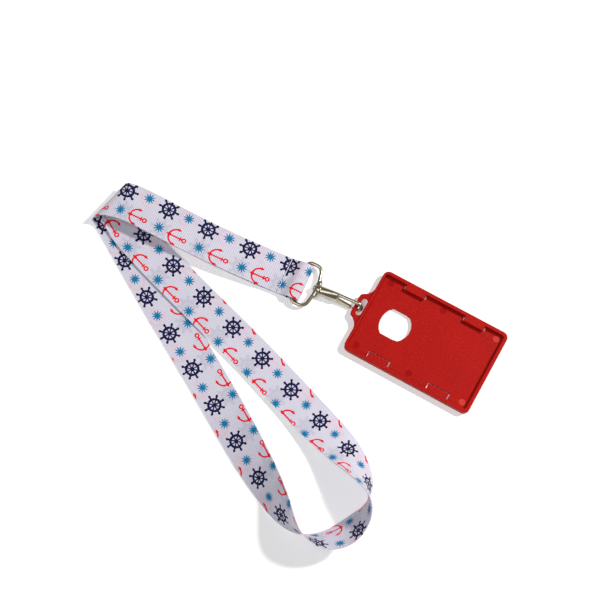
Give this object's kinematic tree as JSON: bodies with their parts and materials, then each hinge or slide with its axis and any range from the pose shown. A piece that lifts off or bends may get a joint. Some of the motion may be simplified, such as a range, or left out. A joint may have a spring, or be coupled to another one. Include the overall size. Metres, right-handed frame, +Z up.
{
  "type": "lanyard badge holder",
  "caption": "Printed ribbon neck lanyard with a metal snap hook and a rigid open-faced holder for one identity card.",
  "frame": {"origin": "on the table, under the middle of the laid-out object's box", "axes": "+X along the card holder's long side, away from its tab and the hook; +Z up from the table"},
  "size_m": [0.2777, 0.1824, 0.026],
  "materials": {
    "ribbon": "printed grosgrain weave",
    "thread": "twisted thread",
    "plated_metal": "nickel plate over a die casting",
    "spring_steel": "drawn wire",
    "red_plastic": "fine moulded texture"
  },
  "bodies": {
    "ribbon": {"neck_ribbon": "ribbon", "seam_thread": "thread"},
    "loop": {"strap_loop": "plated_metal"},
    "hook": {"snap_hook": "plated_metal", "gate_rivet": "plated_metal", "gate_spring": "spring_steel"},
    "gate": {"hook_gate": "plated_metal"},
    "holder": {"card_holder": "red_plastic"}
  },
  "joints": [
    {"name": "loop_swing", "type": "hinge", "parent": "ribbon", "child": "loop", "pos_m": [0.002, 0.056, 0.004], "axis": [-0.0785, 0.9969, 0], "range_deg": [-100, 100]},
    {"name": "hook_swivel", "type": "hinge", "parent": "loop", "child": "hook", "pos_m": [0.01396, 0.05694, 0.004], "axis": [0.9969, 0.0785, 0], "continuous": true},
    {"name": "gate_open", "type": "hinge", "parent": "hook", "child": "gate", "pos_m": [0.02701, 0.05681, 0.00201], "axis": [-0.0679, 0.8634, -0.5], "range_deg": [-14, 0], "stiffness_Nm_per_rad": 0.05, "springref_deg": 5.73},
    {"name": "holder_swing", "type": "hinge", "parent": "hook", "child": "holder", "pos_m": [0.04297, 0.05922, 0.004], "axis": [-0.0785, 0.9969, 0], "range_deg": [-25, 25]}
  ]
}
